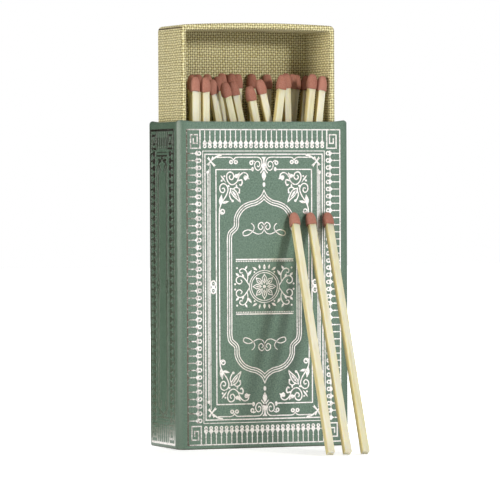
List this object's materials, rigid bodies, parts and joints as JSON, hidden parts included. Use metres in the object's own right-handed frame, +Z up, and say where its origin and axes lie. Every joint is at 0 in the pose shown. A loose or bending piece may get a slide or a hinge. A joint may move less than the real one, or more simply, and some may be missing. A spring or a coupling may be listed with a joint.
{
  "type": "matchbox",
  "caption": "Upright slide-out matchbox: a wrapped board sleeve, a linen-covered tray drawn part way up, long matches standing in it and more leaning on the front.",
  "frame": {"origin": "on the ground, at the middle of the rectangle that the whole object covers, leaning matches included", "axes": "+Z up along the sleeve and the tray's travel, -Y out of the sleeve's printed front, +X towards the narrow side with the striking strip"},
  "size_m": [0.0618, 0.0792, 0.1433],
  "materials": {
    "green_wrap": "satin",
    "foil_print": "satin",
    "striking_grit": "matte",
    "linen": "matte",
    "match_wood": "matte",
    "match_head": "matte"
  },
  "bodies": {
    "sleeve": {"sleeve": "green_wrap", "striking_strip": "striking_grit", "match_26_stick": "match_wood", "match_26_head": "match_head", "match_27_stick": "match_wood", "match_27_head": "match_head", "match_28_stick": "match_wood", "match_28_head": "match_head"},
    "tray": {"tray": "linen", "match_01_stick": "match_wood", "match_01_head": "match_head", "match_02_stick": "match_wood", "match_02_head": "match_head", "match_03_stick": "match_wood", "match_03_head": "match_head", "match_04_stick": "match_wood", "match_04_head": "match_head", "match_05_stick": "match_wood", "match_05_head": "match_head", "match_06_stick": "match_wood", "match_06_head": "match_head", "match_07_stick": "match_wood", "match_07_head": "match_head", "match_08_stick": "match_wood", "match_08_head": "match_head", "match_09_stick": "match_wood", "match_09_head": "match_head", "match_10_stick": "match_wood", "match_10_head": "match_head", "match_11_stick": "match_wood", "match_11_head": "match_head", "match_12_stick": "match_wood", "match_12_head": "match_head", "match_13_stick": "match_wood", "match_13_head": "match_head", "match_14_stick": "match_wood", "match_14_head": "match_head", "match_15_stick": "match_wood", "match_15_head": "match_head", "match_16_stick": "match_wood", "match_16_head": "match_head", "match_17_stick": "match_wood", "match_17_head": "match_head", "match_18_stick": "match_wood", "match_18_head": "match_head", "match_19_stick": "match_wood", "match_19_head": "match_head", "match_20_stick": "match_wood", "match_20_head": "match_head", "match_21_stick": "match_wood", "match_21_head": "match_head", "match_22_stick": "match_wood", "match_22_head": "match_head", "match_23_stick": "match_wood", "match_23_head": "match_head", "match_24_stick": "match_wood", "match_24_head": "match_head", "match_25_stick": "match_wood", "match_25_head": "match_head"}
  },
  "joints": [
    {"name": "tray_slide", "type": "slide", "parent": "sleeve", "child": "tray", "axis": [0, 0, 1], "range_m": [-0.0325, 0.045]}
  ]
}
